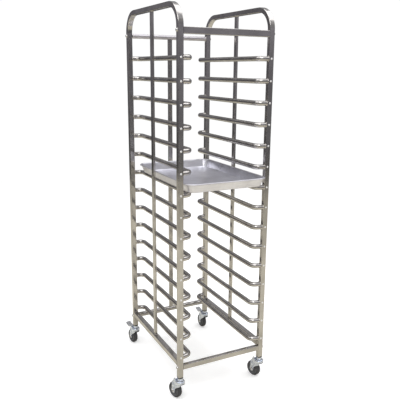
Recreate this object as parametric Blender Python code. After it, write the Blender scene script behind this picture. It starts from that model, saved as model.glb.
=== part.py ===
"""Sheet pan rack: a narrow knock-down bakery trolley on four swivel casters.

Two welded side frames stand parallel and carry fifteen pairs of bent runners.
Bars across the front and the rear hold them apart. A sheet pan rests on the
seventh pair from the top. The rear casters have foot brakes.

Metres, +Z up, the open front towards -Y. The origin is on the floor, under the
middle of the whole part's box, which the trailing casters and the brake pedals
move a little away from the middle of the four posts.
"""

import math

import bmesh
import bpy
from mathutils import Matrix, Vector

GAP = 0.0003  # between pieces that touch

# The frame, measured from the middle of the four posts
POST_X = 0.2155  # from the middle to a post's centre
POST_Y = 0.295
TUBE_WIDE = 0.025  # side frame tube, along X
TUBE_THICK = 0.022  # side frame tube, in the plane of the frame
TUBE_CORNER = 0.003
WALL = 0.0012
POST_BOTTOM = 0.117
FRAME_TOP = 1.760
FRAME_BEND = 0.089  # radius of the tube's centre line at the top corners
RAIL_TALL = 0.025
RAIL_Z = 0.184
CENTRE_UPRIGHT = (0.012, 0.022)  # along X, along Y
REAR_UPRIGHT = (0.022, 0.012)

# The bars that hold the side frames apart
FRONT_TOP_BAR = (0.020, 0.028)  # along Y, along Z
FRONT_BOTTOM_BAR = (0.020, 0.024)
REAR_TOP_DIAMETER = 0.022
REAR_BOTTOM_DIAMETER = 0.026
FRONT_TOP_Z = 1.6447
FRONT_BOTTOM_Z = 0.1657
REAR_TOP_Z = 1.6482
REAR_BOTTOM_Z = 0.1722

# The runners
TIERS = 15
TIER_PITCH = 0.09467
LOWEST_TIER_Z = 0.216
RUNNER_DIAMETER = 0.022
RUNNER_INSET = 0.0524  # from the post's centre inwards
RUNNER_BEND = 0.026
RUNNER_SPLAY = 0.008  # how much a leg spreads towards its post

# The sheet pan
PAN_TIER = 7  # counted from the top
PAN_SIZE = (0.400, 0.600)
PAN_TALL = 0.042
PAN_FRONT_Y = -0.345
PAN_TAPER = 0.012
PAN_SHEET = 0.0015
PAN_CORNER = 0.045
PAN_RIM = 0.007

# The casters: +X is the way the wheel trails, and the swivel axis is at x = 0
WHEEL_RADIUS = 0.0375
WHEEL_WIDE = 0.023
TRAIL = 0.033
AXLE_RADIUS = 0.004
FORK_INSIDE = 0.0132  # half of the room between the legs
FORK_PLATE = 0.0025
BOWL_RADIUS = 0.0222
CROWN_UNDERSIDE = 0.0795
PEDAL_PIVOT = (0.022, 0.101)  # along X, along Z
PEDAL_BEND = (0.035, -0.014)  # from the pivot
PEDAL_TIP = (0.071, -0.004)
PEDAL_WIDE = 0.028
TRAIL_DEGREES = {"rear_left": 98, "front_left": 107, "front_right": 105, "rear_right": 91}
BRAKED = ("rear_left", "rear_right")
CORNERS = {
    "rear_left": (-POST_X, POST_Y),
    "front_left": (-POST_X, -POST_Y),
    "front_right": (POST_X, -POST_Y),
    "rear_right": (POST_X, POST_Y),
}

# The middle of the whole part's box, from the middle of the four posts
BOX_CENTRE = (-0.00372, 0.02226)


# ---------------------------------------------------------------- helpers


def clear_scene():
    for obj in list(bpy.data.objects):
        bpy.data.objects.remove(obj, do_unlink=True)


def material(name, colour, roughness, metallic):
    made = bpy.data.materials.new(name)
    made.use_nodes = True
    shader = made.node_tree.nodes["Principled BSDF"]
    shader.inputs["Base Color"].default_value = (*colour, 1.0)
    shader.inputs["Roughness"].default_value = roughness
    shader.inputs["Metallic"].default_value = metallic
    return made


def add_object(name, bm, finish, parent):
    """Turns a closed bmesh into an object, with its faces pointing out."""
    bmesh.ops.recalc_face_normals(bm, faces=bm.faces)
    mesh = bpy.data.meshes.new(name)
    bm.to_mesh(mesh)
    bm.free()
    mesh.shade_smooth()
    mesh.set_sharp_from_angle(angle=math.radians(35))
    obj = bpy.data.objects.new(name, mesh)
    obj.data.materials.append(finish)
    obj.parent = parent
    bpy.context.collection.objects.link(obj)
    return obj


def empty(name, location, parent=None):
    made = bpy.data.objects.new(name, None)
    made.location = location
    made.parent = parent
    bpy.context.collection.objects.link(made)
    return made


def helper(name, bm, parent):
    """A cutter or an addition for a Boolean, which isn't a piece of its own."""
    bmesh.ops.recalc_face_normals(bm, faces=bm.faces)
    mesh = bpy.data.meshes.new(name)
    bm.to_mesh(mesh)
    bm.free()
    obj = bpy.data.objects.new(name, mesh)
    obj.parent = parent
    obj.hide_render = True
    obj.display_type = "WIRE"
    bpy.context.collection.objects.link(obj)
    return obj


def boolean(obj, other, operation):
    modifier = obj.modifiers.new(other.name, "BOOLEAN")
    modifier.operation = operation
    modifier.solver = "EXACT"
    modifier.object = other


def rounded_rectangle(wide, tall, radius, steps=1):
    """Points of a rectangle about the origin, with its corners rounded."""
    points = []
    for quarter, (sx, sy) in enumerate(((1, 1), (-1, 1), (-1, -1), (1, -1))):
        cx = sx * (wide / 2 - radius)
        cy = sy * (tall / 2 - radius)
        for step in range(steps + 1):
            angle = math.pi / 2 * (quarter + step / steps)
            points.append((cx + radius * math.cos(angle), cy + radius * math.sin(angle)))
    return points


def circle(radius, sides):
    return [
        (radius * math.cos(math.tau * k / sides), radius * math.sin(math.tau * k / sides))
        for k in range(sides)
    ]


def filleted(corners, radius, steps):
    """The points of a bent line: straight runs, with an arc at each inner corner."""
    path = [corners[0]]
    for before, corner, after in zip(corners, corners[1:], corners[2:]):
        back = (before - corner).normalized()
        on = (after - corner).normalized()
        half = back.angle(on) / 2
        centre = corner + (back + on).normalized() * radius / math.sin(half)
        start = corner + back * radius / math.tan(half) - centre
        axis = start.cross(corner - centre).normalized()
        for step in range(steps + 1):
            turn = Matrix.Rotation((math.pi - 2 * half) * step / steps, 3, axis)
            path.append(centre + turn @ start)
    path.append(corners[-1])
    return path


def sweep(path, section, normal, hollow=None):
    """A bmesh of section, or of the wall between section and hollow, along a flat path.

    A section point (a, b) is a across the path in its plane and b along normal.
    """
    bm = bmesh.new()
    shells = []
    for outline in filter(None, (section, hollow)):
        rings = []
        for index, point in enumerate(path):
            into = (point - path[max(index - 1, 0)]).normalized()
            out = (path[min(index + 1, len(path) - 1)] - point).normalized()
            tangent = (into + out).normalized()
            mitre = 1 / max(tangent.dot(out if index == 0 else into), 0.5)
            side = normal.cross(tangent)
            rings.append([bm.verts.new(point + side * a * mitre + normal * b) for a, b in outline])
        for ring, following in zip(rings, rings[1:]):
            bridge(bm, ring, following)
        shells.append(rings)
    for end in (0, -1):
        if hollow:
            bridge(bm, shells[0][end], shells[1][end])
        else:
            bm.faces.new(shells[0][end])
    return bm


def bridge(bm, ring, following):
    for k in range(len(ring)):
        nxt = (k + 1) % len(ring)
        bm.faces.new((ring[k], ring[nxt], following[nxt], following[k]))


def turned(profile, sides, axis="Z", closed=False):
    """A bmesh turned from (radius, height) points; a closed profile makes a ring."""
    bm = bmesh.new()
    rings = []
    for radius, height in profile:
        ring = []
        for a, b in circle(radius, sides):
            ring.append(bm.verts.new((a, b, height) if axis == "Z" else (a, height, b)))
        rings.append(ring)
    for ring, following in zip(rings, rings[1:]):
        bridge(bm, ring, following)
    if closed:
        bridge(bm, rings[-1], rings[0])
    else:
        bm.faces.new(rings[0])
        bm.faces.new(rings[-1])
    return bm


def extruded(outline, half_wide):
    """A bmesh of an outline of (x, z) points, extruded half_wide each way along Y."""
    bm = bmesh.new()
    rings = [[bm.verts.new((x, y, z)) for x, z in outline] for y in (-half_wide, half_wide)]
    bridge(bm, *rings)
    for ring in rings:
        bm.faces.new(ring)
    return bm


def box(low, high):
    bm = bmesh.new()
    size = Vector(high) - Vector(low)
    middle = (Vector(high) + Vector(low)) / 2
    matrix = Matrix.Translation(middle) @ Matrix.Diagonal((*size, 1.0))
    bmesh.ops.create_cube(bm, size=1.0, matrix=matrix)
    return bm


def arc(centre, radius, start, end, steps):
    """(x, z) points round a centre, from start to end in degrees."""
    angles = [math.radians(start + (end - start) * k / steps) for k in range(steps + 1)]
    return [(centre[0] + radius * math.cos(a), centre[1] + radius * math.sin(a)) for a in angles]


# ---------------------------------------------------------------- the frame


def tube_sections(across, along_normal):
    outer = rounded_rectangle(across, along_normal, TUBE_CORNER)
    inner = rounded_rectangle(across - 2 * WALL, along_normal - 2 * WALL, TUBE_CORNER - WALL)
    return outer, inner


def pipe_sections(diameter):
    return circle(diameter / 2, 16), circle(diameter / 2 - WALL, 16)


def side_frame(name, x, steel, rack):
    """One tube bent into an inverted U: front post, top bar and rear post."""
    top = FRAME_TOP - TUBE_THICK / 2
    corners = [
        Vector((x, -POST_Y, POST_BOTTOM)),
        Vector((x, -POST_Y, top)),
        Vector((x, POST_Y, top)),
        Vector((x, POST_Y, POST_BOTTOM)),
    ]
    outer, inner = tube_sections(TUBE_THICK, TUBE_WIDE)
    path = filleted(corners, FRAME_BEND, 7)
    add_object(name, sweep(path, outer, Vector((1, 0, 0)), inner), steel, rack)


def bottom_rail(name, x, steel, rack):
    reach = POST_Y - TUBE_THICK / 2 - GAP
    path = [Vector((x, -reach, RAIL_Z)), Vector((x, reach, RAIL_Z))]
    outer, inner = tube_sections(TUBE_WIDE, RAIL_TALL)
    add_object(name, sweep(path, outer, Vector((0, 0, 1)), inner), steel, rack)


def upright(name, x, y, bottom, top, size, steel, rack):
    path = [Vector((x, y, bottom)), Vector((x, y, top))]
    outer, inner = tube_sections(size[1], size[0])
    add_object(name, sweep(path, outer, Vector((1, 0, 0)), inner), steel, rack)


def cross_bar(name, y, z, sections, steel, rack):
    reach = POST_X - TUBE_WIDE / 2 - GAP
    path = [Vector((-reach, y, z)), Vector((reach, y, z))]
    outer, inner = sections
    add_object(name, sweep(path, outer, Vector((0, 0, 1)), inner), steel, rack)


def runner(name, side, z, steel, rack):
    """A round bar bent at both ends, from the rear post inwards, forwards and back out."""
    root = side * (POST_X - TUBE_WIDE / 2 - GAP)
    run = side * (POST_X - RUNNER_INSET)
    corners = [
        Vector((root, -POST_Y, z)),
        Vector((run, -POST_Y + RUNNER_SPLAY, z)),
        Vector((run, POST_Y - RUNNER_SPLAY, z)),
        Vector((root, POST_Y, z)),
    ]
    path = filleted(corners, RUNNER_BEND, 4)
    square_to_post(path, side)
    section = circle(RUNNER_DIAMETER / 2, 8)
    add_object(name, sweep(path, section, Vector((0, 0, 1))), steel, rack)


def square_to_post(path, side):
    """Starts and ends a runner's path with a short run at right angles to the post's face."""
    lead = Vector((side * 0.006, 0, 0))
    path[0:1] = [path[0], path[0] - lead]
    path[-1:] = [path[-1] - lead, path[-1]]


def tier_z(tier):
    """The height of a runner's centre line; tier 1 is the top one."""
    return LOWEST_TIER_Z + TIER_PITCH * (TIERS - tier)


def frame_pieces(steel, rack):
    for side, x in (("left", -POST_X), ("right", POST_X)):
        side_frame(f"{side}_side_frame", x, steel, rack)
        bottom_rail(f"{side}_bottom_rail", x, steel, rack)
        upright(
            f"{side}_centre_upright",
            x,
            0.0,
            RAIL_Z + RAIL_TALL / 2 + GAP,
            FRAME_TOP - TUBE_THICK - GAP,
            CENTRE_UPRIGHT,
            steel,
            rack,
        )
        for tier in range(1, TIERS + 1):
            runner(f"{side}_runner_{tier:02d}", math.copysign(1, x), tier_z(tier), steel, rack)

    top_tube, bottom_tube = tube_sections(*FRONT_TOP_BAR), tube_sections(*FRONT_BOTTOM_BAR)
    top_pipe, bottom_pipe = pipe_sections(REAR_TOP_DIAMETER), pipe_sections(REAR_BOTTOM_DIAMETER)
    cross_bar("front_top_bar", -POST_Y, FRONT_TOP_Z, top_tube, steel, rack)
    cross_bar("front_bottom_bar", -POST_Y, FRONT_BOTTOM_Z, bottom_tube, steel, rack)
    cross_bar("rear_top_bar", POST_Y, REAR_TOP_Z, top_pipe, steel, rack)
    cross_bar("rear_bottom_bar", POST_Y, REAR_BOTTOM_Z, bottom_pipe, steel, rack)
    upright(
        "rear_centre_upright",
        0.0,
        POST_Y,
        REAR_BOTTOM_Z + REAR_BOTTOM_DIAMETER / 2 + GAP,
        REAR_TOP_Z - REAR_TOP_DIAMETER / 2 - GAP,
        REAR_UPRIGHT,
        steel,
        rack,
    )


# ---------------------------------------------------------------- the pan


def sheet_pan(aluminium, rack):
    """A tray of thin sheet: a flat floor, sloping walls and a rim turned outwards."""
    bottom = tier_z(PAN_TIER) + RUNNER_DIAMETER / 2 + GAP
    middle_y = PAN_FRONT_Y + PAN_SIZE[1] / 2
    t = PAN_SHEET
    lip = PAN_RIM + PAN_TAPER
    # each ring: how far it is inside the rim's outer edge, and its height over the pan's base
    rings = [
        (lip + 0.003, 0.0),
        (lip, 0.003),
        (PAN_RIM, PAN_TALL - t - 0.001),
        (t, PAN_TALL - t),
        (t, PAN_TALL - 0.006),
        (0.0, PAN_TALL - 0.006),
        (0.0, PAN_TALL),
        (PAN_RIM + t, PAN_TALL),
        (lip + t, 0.0035 + t),
        (lip + t + 0.002, t),
    ]
    bm = bmesh.new()
    loops = []
    for inset, height in rings:
        outline = rounded_rectangle(
            PAN_SIZE[0] - 2 * inset, PAN_SIZE[1] - 2 * inset, PAN_CORNER - inset, 5
        )
        loops.append([bm.verts.new((x, y + middle_y, bottom + height)) for x, y in outline])
    for ring, following in zip(loops, loops[1:]):
        bridge(bm, ring, following)
    bm.faces.new(loops[0])
    bm.faces.new(loops[-1])
    add_object("sheet_pan", bm, aluminium, rack)


# ---------------------------------------------------------------- the casters


def stem_plug(name, plastic, corner):
    """The plastic plug that closes a post and holds the caster's stem."""
    flange_low = POST_BOTTOM - GAP - 0.0032
    flange = box(
        (-TUBE_WIDE / 2, -TUBE_THICK / 2, flange_low),
        (TUBE_WIDE / 2, TUBE_THICK / 2, POST_BOTTOM - GAP),
    )
    plug = add_object(name, flange, plastic, corner)
    half_x = TUBE_WIDE / 2 - WALL - GAP
    half_y = TUBE_THICK / 2 - WALL - GAP
    inside = box(
        (-half_x, -half_y, POST_BOTTOM - 0.002),
        (half_x, half_y, POST_BOTTOM + 0.022),
    )
    chamfer = inside.verts[:] + inside.edges[:]
    bmesh.ops.bevel(inside, geom=chamfer, offset=0.0022, segments=1, affect="EDGES")
    boolean(plug, helper(name + "_body", inside, corner), "UNION")


def fork_outline():
    """The outline of a leg, from the front of the bowl round the axle and up to its ear."""
    outline = [(-0.0150, 0.0940), (-0.0150, 0.0770), (-0.0020, 0.0660)]
    outline += [(0.0170, 0.0540), (0.0205, 0.0440)]
    outline += arc((TRAIL, WHEEL_RADIUS), 0.0115, 205, 350, 7)
    outline += [(0.0460, 0.0480), (0.0460, 0.0830), (0.0340, 0.0900)]
    outline += arc(PEDAL_PIVOT, 0.0065, -10, 130, 5)
    return outline + [(0.0140, 0.0940)]


def swivel_head():
    """The bowl that the legs grow out of, and the race and neck above it."""
    top = POST_BOTTOM - GAP - 0.0032 - GAP
    return turned(
        [
            (0.0185, 0.0850),
            (0.0210, 0.0858),
            (BOWL_RADIUS, 0.0880),
            (BOWL_RADIUS, 0.0930),
            (0.0215, 0.0960),
            (0.0190, 0.0985),
            (0.0150, 0.0990),
            (0.0150, 0.1000),
            (0.0165, 0.1005),
            (0.0165, 0.1035),
            (0.0125, 0.1045),
            (0.0125, top),
        ],
        24,
    )


def cross_hole(radius, x, z):
    """A cutter through both legs."""
    hole = turned([(radius, -0.03), (radius, 0.03)], 16, "Y")
    bmesh.ops.translate(hole, vec=(x, 0, z), verts=hole.verts)
    return hole


def caster_fork(name, zinc, swivel):
    """The bowl with its race, the two legs and the two ears, in one pressed piece."""
    half = FORK_INSIDE + FORK_PLATE
    fork = add_object(name, extruded(fork_outline(), half), zinc, swivel)
    boolean(fork, helper(name + "_head", swivel_head(), swivel), "UNION")
    for part, cutter in (
        ("_room", box((-0.017, -FORK_INSIDE, 0.0), (0.06, FORK_INSIDE, CROWN_UNDERSIDE))),
        ("_slot", box((0.0170, -FORK_INSIDE, 0.0850), (0.06, FORK_INSIDE, 0.12))),
        ("_pin_hole", cross_hole(0.0023, *PEDAL_PIVOT)),
        ("_axle_hole", cross_hole(AXLE_RADIUS + GAP, TRAIL, WHEEL_RADIUS)),
    ):
        boolean(fork, helper(name + part, cutter, swivel), "DIFFERENCE")


def caster_wheel(name, rubber, swivel):
    """A rubber-tyred wheel; its origin is on the axle."""
    half = WHEEL_WIDE / 2
    bore = AXLE_RADIUS + GAP
    side = [(bore, -half), (0.0115, -half), (0.0135, -0.0075), (0.0250, -0.0075)]
    side += [(0.0270, -half + 0.001), (0.0340, -half + 0.001), (WHEEL_RADIUS, -0.0075)]
    profile = side + [(radius, -height) for radius, height in reversed(side)]
    bm = turned(profile, 28, "Y", closed=True)
    wheel = add_object(name, bm, rubber, swivel)
    wheel.location = (TRAIL, 0, WHEEL_RADIUS)


def caster_axle(name, zinc, swivel):
    head = 0.0060
    seat = FORK_INSIDE + FORK_PLATE + GAP
    end = seat + 0.0026
    profile = [(head, -end), (head, -seat), (AXLE_RADIUS, -seat)]
    profile += [(AXLE_RADIUS, seat), (head, seat), (head, end)]
    axle = add_object(name, turned(profile, 12, "Y"), zinc, swivel)
    axle.location = (TRAIL, 0, WHEEL_RADIUS)


def strip(points, half):
    """The outline of a bent strip of metal, half thick on each side of a line."""
    line = [Vector(point) for point in points]
    upper, lower = [], []
    for index, point in enumerate(line):
        into = (point - line[max(index - 1, 0)]).normalized()
        out = (line[min(index + 1, len(line) - 1)] - point).normalized()
        along = (into + out).normalized()
        over = Vector((-along.y, along.x)) * half
        upper.append(tuple(point + over))
        lower.append(tuple(point - over))
    return upper + lower[::-1]


def brake_pedal(name, zinc, swivel):
    """A bent foot lever with a wider pad and its pin; its origin is on the pin."""
    arm = strip([(0.0, 0.0), PEDAL_BEND, (PEDAL_BEND[0] + 0.008, PEDAL_BEND[1] + 0.0022)], 0.0013)
    pedal = add_object(name, extruded(arm, FORK_INSIDE - 0.0007), zinc, swivel)
    pedal.location = (PEDAL_PIVOT[0], 0, PEDAL_PIVOT[1])
    pad = extruded(strip([PEDAL_BEND, PEDAL_TIP], 0.0018), PEDAL_WIDE / 2)
    eye = turned([(0.0036, 0.0007 - FORK_INSIDE), (0.0036, FORK_INSIDE - 0.0007)], 12, "Y")
    pin = turned([(0.0020, -0.0168), (0.0020, 0.0168)], 12, "Y")
    for part, addition in (("_pad", pad), ("_eye", eye), ("_pin", pin)):
        boolean(pedal, helper(name + part, addition, pedal), "UNION")


def caster(corner_name, materials, rack):
    x, y = CORNERS[corner_name]
    corner = empty(corner_name + "_corner", (x, y, 0), rack)
    swivel = empty(corner_name + "_swivel", (0, 0, 0), corner)
    swivel.rotation_euler.z = math.radians(TRAIL_DEGREES[corner_name])
    stem_plug(corner_name + "_stem_plug", materials["plastic"], corner)
    caster_fork(corner_name + "_caster_fork", materials["zinc"], swivel)
    caster_wheel(corner_name + "_caster_wheel", materials["rubber"], swivel)
    caster_axle(corner_name + "_caster_axle", materials["zinc"], swivel)
    if corner_name in BRAKED:
        brake_pedal(corner_name + "_brake_pedal", materials["zinc"], swivel)


def main():
    clear_scene()
    steel = material("stainless_steel", (0.62, 0.59, 0.55), 0.18, 1.0)
    aluminium = material("aluminium_sheet", (0.80, 0.81, 0.84), 0.35, 1.0)
    casters = {
        "zinc": material("zinc_plate", (0.66, 0.68, 0.71), 0.28, 1.0),
        "rubber": material("grey_rubber", (0.075, 0.075, 0.08), 0.7, 0.0),
        "plastic": material("black_plastic", (0.02, 0.02, 0.022), 0.45, 0.0),
    }
    rack = empty("rack", (-BOX_CENTRE[0], -BOX_CENTRE[1], 0))
    frame_pieces(steel, rack)
    sheet_pan(aluminium, rack)
    for corner_name in CORNERS:
        caster(corner_name, casters, rack)


main()
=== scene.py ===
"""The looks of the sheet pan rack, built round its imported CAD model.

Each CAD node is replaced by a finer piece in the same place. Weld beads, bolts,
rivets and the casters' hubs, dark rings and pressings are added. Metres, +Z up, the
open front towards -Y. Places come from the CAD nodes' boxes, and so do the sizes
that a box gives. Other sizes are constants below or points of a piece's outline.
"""

import math
import random

import bmesh
import bpy
from mathutils import Matrix, Vector


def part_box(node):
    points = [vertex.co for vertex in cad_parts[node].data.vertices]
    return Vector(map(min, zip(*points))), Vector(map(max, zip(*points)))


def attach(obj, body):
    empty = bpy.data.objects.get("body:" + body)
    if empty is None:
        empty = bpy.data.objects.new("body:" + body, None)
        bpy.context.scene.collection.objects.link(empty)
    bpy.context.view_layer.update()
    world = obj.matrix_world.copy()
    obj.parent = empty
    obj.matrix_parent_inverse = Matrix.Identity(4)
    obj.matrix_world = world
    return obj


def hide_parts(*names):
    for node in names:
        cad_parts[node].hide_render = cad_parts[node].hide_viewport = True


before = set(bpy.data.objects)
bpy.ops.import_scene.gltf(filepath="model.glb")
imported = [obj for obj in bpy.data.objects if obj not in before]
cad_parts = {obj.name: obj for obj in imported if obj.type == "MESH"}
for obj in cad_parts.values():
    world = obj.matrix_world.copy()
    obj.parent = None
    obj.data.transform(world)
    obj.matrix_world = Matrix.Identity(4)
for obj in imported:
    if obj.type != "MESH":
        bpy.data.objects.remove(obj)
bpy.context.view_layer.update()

SIDES = ("left", "right")
CORNERS = ("rear_left", "front_left", "front_right", "rear_right")
TIERS = range(1, 16)
X_AXIS, Y_AXIS, Z_AXIS = Vector((1, 0, 0)), Vector((0, 1, 0)), Vector((0, 0, 1))

SHARP = math.radians(40)  # an edge bent more than this stays sharp

# Sizes that a node's box doesn't give
TUBE_CORNER = 0.0032
UPRIGHT_CORNER = 0.0025
BAR_CORNER = 0.0028
FRAME_BEND = 0.089  # of the tube's centre line
RUNNER_BEND = 0.026
RUNNER_SPLAY = 0.008
RUNNER_LEAD = 0.006  # square to the post before the splay starts
BEAD_STEP = 0.0016  # between a weld bead's ripples
RUNNER_BEAD, RAIL_BEAD, UPRIGHT_BEAD = 0.0015, 0.0013, 0.0012  # radii
BEND_SQUEEZE = 0.06  # how much a bent tube narrows in the bend's plane

# Where the photographer stood, from the middle of the four posts
CAMERA_PLACE = Vector((-1.1544, -2.3335, 1.4946))
CAMERA_YAW = 0.476  # to the right of +Y
CAMERA_PITCH = 0.243  # downwards
CAMERA_ROLL = 0.010
CAMERA_LENS = 48.9
CAMERA_SHIFT = (-0.0086, 0.0100)

FLOOR_RADIUS = 5.2
FLOOR_GLOW = 0.26
DOME_LIGHT = 0.80
BACKDROP = 1.02
LIGHTER_SIDE = (0.6, -0.8, 0.0)  # where the mirrored room is lightest
SIDE_LIGHT = (0.66, 1.30)  # the mirrored room away from that side and towards it
CLUTTER = (0.45, 1.55)  # how far patches of the mirrored room go below and above it
CLUTTER_SCALE = 4.0
ROOM = (  # the light that the metal mirrors, by degrees above the horizon
    (-90, (0.115, 0.115, 0.114)),
    (-10, (0.100, 0.100, 0.104)),
    (-3, (0.165, 0.162, 0.175)),
    (4, (0.240, 0.232, 0.258)),
    (16, (0.260, 0.255, 0.275)),
    (30, (0.36, 0.355, 0.360)),
    (46, (0.50, 0.50, 0.52)),
    (62, (0.66, 0.66, 0.69)),
    (90, (0.46, 0.46, 0.50)),
)


# ---------------------------------------------------------------- materials


class Tree:
    """Short calls for building a node tree."""

    def __init__(self, tree):
        self.tree = tree

    def add(self, kind, **values):
        node = self.tree.nodes.new(kind)
        for key, value in values.items():
            setattr(node, key, value)
        return node

    def link(self, source, target):
        self.tree.links.new(source, target)

    def fill(self, socket, value):
        """Links an output to a socket, or sets the socket to a number or a colour."""
        if isinstance(value, bpy.types.NodeSocket):
            self.link(value, socket)
        elif isinstance(value, tuple):
            socket.default_value = (*value, 1.0)
        else:
            socket.default_value = value

    def ramp(self, source, stops):
        node = self.add("ShaderNodeValToRGB")
        elements = node.color_ramp.elements
        while len(elements) < len(stops):
            elements.new(0.5)
        for element, (position, colour) in zip(elements, stops):
            element.position = position
            element.color = (*colour, 1.0)
        self.link(source, node.inputs["Fac"])
        return node.outputs["Color"]

    def spread(self, source, low, high, from_low=0.25, from_high=0.75):
        """Maps the range from_low to from_high onto low to high, and clamps."""
        node = self.add("ShaderNodeMapRange")
        for key, value in zip(
            ("From Min", "From Max", "To Min", "To Max"), (from_low, from_high, low, high)
        ):
            node.inputs[key].default_value = value
        self.link(source, node.inputs["Value"])
        return node.outputs["Result"]

    def math(self, operation, *values):
        node = self.add("ShaderNodeMath", operation=operation)
        for socket, value in zip(node.inputs, values):
            self.fill(socket, value)
        return node.outputs[0]


class Nodes(Tree):
    """One material's node tree, with its Principled shader and object coordinates."""

    def __init__(self, name):
        self.material = bpy.data.materials.new(name)
        self.material.use_nodes = True
        super().__init__(self.material.node_tree)
        self.shader = self.tree.nodes["Principled BSDF"]
        self.places = self.add("ShaderNodeTexCoord").outputs["Object"]

    def noise(self, scale, stretch=(1, 1, 1), detail=4.0, rough=0.55, offset=0.0):
        """The 0 to 1 output of a noise; a small stretch makes it long that way."""
        mapping = self.add("ShaderNodeMapping")
        mapping.inputs["Scale"].default_value = stretch
        mapping.inputs["Location"].default_value = (offset, offset, offset)
        self.link(self.places, mapping.inputs["Vector"])
        texture = self.add("ShaderNodeTexNoise")
        texture.inputs["Scale"].default_value = scale
        texture.inputs["Detail"].default_value = detail
        texture.inputs["Roughness"].default_value = rough
        self.link(mapping.outputs["Vector"], texture.inputs["Vector"])
        return texture.outputs["Fac"]

    def blend(self, a, b, share):
        node = self.add("ShaderNodeMix", data_type="RGBA")
        for socket, value in zip((node.inputs[0], node.inputs[6], node.inputs[7]), (share, a, b)):
            self.fill(socket, value)
        return node.outputs[2]

    def bump(self, heights):
        """Bumps from (height, distance in metres) pairs, one on another."""
        normal = None
        for height, distance in heights:
            node = self.add("ShaderNodeBump")
            node.inputs["Strength"].default_value = 1.0
            node.inputs["Distance"].default_value = distance
            self.link(height, node.inputs["Height"])
            if normal is not None:
                self.link(normal, node.inputs["Normal"])
            normal = node.outputs["Normal"]
        self.link(normal, self.shader.inputs["Normal"])

    def set(self, **values):
        for key, value in values.items():
            self.fill(self.shader.inputs[key.replace("_", " ")], value)


def along(axis, long):
    """A stretch that makes a texture long along one axis."""
    return tuple(long if k == "XYZ".index(axis) else 1.0 for k in range(3))


def polished_steel(name, axis):
    """Polished stainless tube: faint draw lines along it, slow waves and rubbed patches."""
    m = Nodes(name)
    patches = m.noise(7.0, detail=3.0)
    lines = m.noise(900.0, along(axis, 0.012), detail=2.0)
    smears = m.noise(38.0, along(axis, 0.35), detail=5.0, offset=3.7)
    waves = m.noise(16.0, along(axis, 0.6), detail=1.5, rough=0.4, offset=8.1)
    colour = m.ramp(patches, [(0.30, (0.46, 0.445, 0.43)), (0.70, (0.62, 0.60, 0.58))])
    colour = m.blend(colour, (0.34, 0.325, 0.315), m.spread(smears, 0.0, 0.42, 0.48, 0.78))
    rough = m.math("ADD", m.spread(smears, 0.105, 0.215), m.spread(lines, -0.02, 0.03))
    m.set(Base_Color=colour, Metallic=1.0, Roughness=rough)
    m.bump([(waves, 0.0015), (lines, 0.000004)])
    return m.material


def weld_metal(name):
    """A ground weld: duller than the tube, with a straw and blue heat tint."""
    m = Nodes(name)
    tint = m.noise(55.0, detail=3.0)
    grain = m.noise(1400.0, detail=3.0, offset=2.0)
    colour = m.ramp(
        tint,
        [
            (0.28, (0.33, 0.30, 0.29)),
            (0.45, (0.60, 0.56, 0.51)),
            (0.60, (0.66, 0.63, 0.59)),
            (0.78, (0.42, 0.42, 0.46)),
        ],
    )
    m.set(Base_Color=colour, Metallic=1.0, Roughness=m.spread(grain, 0.20, 0.36))
    m.bump([(grain, 0.00006)])
    return m.material


def bright_steel(name):
    """Bolts and axles: turned, clean and bright, with dirt in the grain."""
    m = Nodes(name)
    grain = m.noise(700.0, detail=3.0)
    dirt = m.noise(160.0, detail=4.0, offset=5.0)
    colour = m.blend((0.74, 0.73, 0.72), (0.40, 0.37, 0.34), m.spread(dirt, 0.0, 0.6, 0.5, 0.8))
    m.set(Base_Color=colour, Metallic=1.0, Roughness=m.spread(grain, 0.14, 0.26))
    m.bump([(grain, 0.00003)])
    return m.material


def rivet_steel_painted_highlight(name):
    """The small domes on the posts: their steel painted pale as a highlight, so they show as bright dots;
    frosted, with a darker speckle.
    """
    m = Nodes(name)
    speckle = m.noise(420.0, detail=3.0)
    # painted highlight: the pale base colour stands in for the domes' glints
    colour = m.blend((0.90, 0.90, 0.91), (0.62, 0.61, 0.60), m.spread(speckle, 0.0, 0.5, 0.5, 0.8))
    m.set(Base_Color=colour, Metallic=0.35, Roughness=m.spread(speckle, 0.34, 0.46))
    m.bump([(speckle, 0.00008)])
    return m.material


def zinc_plate(name):
    """Bright zinc on pressed steel: cool, faintly spangled, cloudy in patches."""
    m = Nodes(name)
    cloud = m.noise(60.0, detail=5.0)
    spangle = m.add("ShaderNodeTexVoronoi")
    spangle.inputs["Scale"].default_value = 260.0
    m.link(m.places, spangle.inputs["Vector"])
    colour = m.ramp(cloud, [(0.36, (0.50, 0.555, 0.69)), (0.60, (0.85, 0.91, 0.99))])
    rough = m.math("ADD", m.spread(cloud, 0.12, 0.26), m.spread(spangle.outputs["Distance"], 0, 0.06, 0, 1))
    m.set(Base_Color=colour, Metallic=0.80, Roughness=rough)
    m.bump([(cloud, 0.0030), (spangle.outputs["Distance"], 0.00003)])
    return m.material


def worn_zinc(name):
    """The brake pedals' plating, dulled and scuffed by shoes."""
    m = Nodes(name)
    cloud = m.noise(75.0, detail=5.0)
    scuffs = m.noise(520.0, (1.0, 0.15, 1.0), detail=3.0, offset=5.0)
    colour = m.ramp(cloud, [(0.32, (0.42, 0.43, 0.44)), (0.68, (0.66, 0.67, 0.68))])
    m.set(Base_Color=colour, Metallic=1.0, Roughness=m.spread(scuffs, 0.30, 0.48))
    m.bump([(cloud, 0.0006), (scuffs, 0.00002)])
    return m.material


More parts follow.
